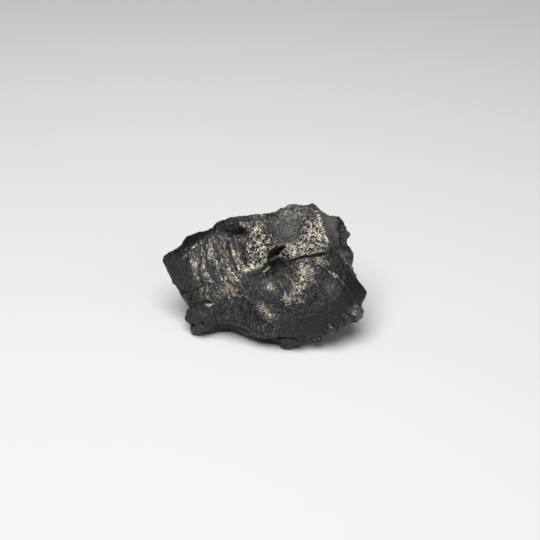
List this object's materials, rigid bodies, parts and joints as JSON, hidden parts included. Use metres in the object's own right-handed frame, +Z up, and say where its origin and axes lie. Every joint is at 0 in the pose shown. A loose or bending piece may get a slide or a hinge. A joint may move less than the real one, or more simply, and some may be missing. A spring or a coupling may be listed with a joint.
{
  "type": "meteorite",
  "caption": "Fragment of iron meteorite, a torn dark lump with a pitted, worn broad face and thumbprinted back, that lies on its own worn feet as a display specimen.",
  "frame": {"origin": "on the ground, under the middle of the stone's box", "axes": "+X along the length, from the left tip to the right knuckle; +Z up; the broad pitted face looks up and towards -Y"},
  "size_m": [0.046, 0.027, 0.0258],
  "materials": {
    "nickel_iron": "nickel-iron under a satin black oxide skin, with pitted grains worn bare to a warm metal sheen"
  },
  "bodies": {
    "root": {"meteorite": "nickel_iron"}
  },
  "joints": []
}
